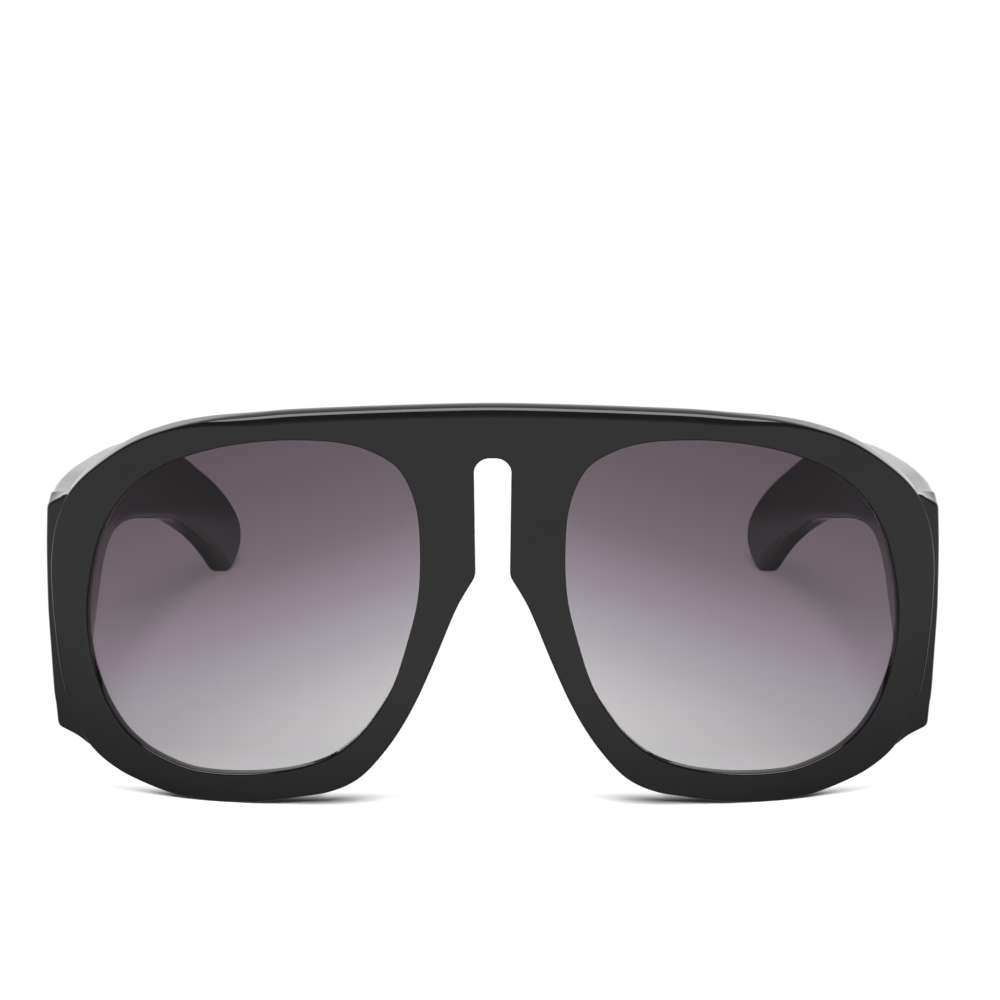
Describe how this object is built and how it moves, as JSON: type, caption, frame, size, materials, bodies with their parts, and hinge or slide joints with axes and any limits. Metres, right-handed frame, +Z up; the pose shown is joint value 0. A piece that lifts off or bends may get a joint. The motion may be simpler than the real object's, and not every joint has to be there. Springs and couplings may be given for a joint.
{
  "type": "sunglasses",
  "caption": "Oversized flat-topped shield sunglasses in thick black acetate, with a keyhole slot over the nose, gradient lenses in grooves and wide drop temples that fold on barrel hinges.",
  "frame": {"origin": "on the surface that the open sunglasses stand on, under the middle of their width and depth", "axes": "+X to the wearer's left, +Y from the front back towards the temple tips, +Z up; the front faces -Y"},
  "size_m": [0.1458, 0.1425, 0.068],
  "materials": {
    "front_acetate": "polished black acetate",
    "temple_acetate": "polished black acetate",
    "nose_pad": "tumbled black acetate",
    "lens_tint": "gradient tint, dark at the top and clear at the bottom",
    "hinge_metal": "plated nickel silver",
    "screw_metal": "bright steel",
    "core_wire": "nickel silver strip inside the acetate"
  },
  "bodies": {
    "front": {"front_frame": "front_acetate", "left_end_block": "front_acetate", "right_end_block": "front_acetate", "left_lens": "lens_tint", "right_lens": "lens_tint", "left_nose_pad": "nose_pad", "right_nose_pad": "nose_pad", "left_front_leaf": "hinge_metal", "right_front_leaf": "hinge_metal", "left_hinge_screw": "screw_metal", "right_hinge_screw": "screw_metal", "left_front_leaf_screws": "screw_metal", "right_front_leaf_screws": "screw_metal"},
    "left_arm": {"left_temple": "temple_acetate", "left_core_wire": "core_wire", "left_temple_leaf": "hinge_metal", "left_temple_leaf_screws": "screw_metal"},
    "right_arm": {"right_temple": "temple_acetate", "right_core_wire": "core_wire", "right_temple_leaf": "hinge_metal", "right_temple_leaf_screws": "screw_metal"}
  },
  "joints": [
    {"name": "left_temple_fold", "type": "hinge", "parent": "front", "child": "left_arm", "pos_m": [0.06755, -0.05226, 0.04248], "axis": [0, 0, 1], "range_deg": [0, 83]},
    {"name": "right_temple_fold", "type": "hinge", "parent": "front", "child": "right_arm", "pos_m": [-0.06755, -0.05226, 0.04248], "axis": [0, 0, -1], "range_deg": [0, 76]}
  ]
}
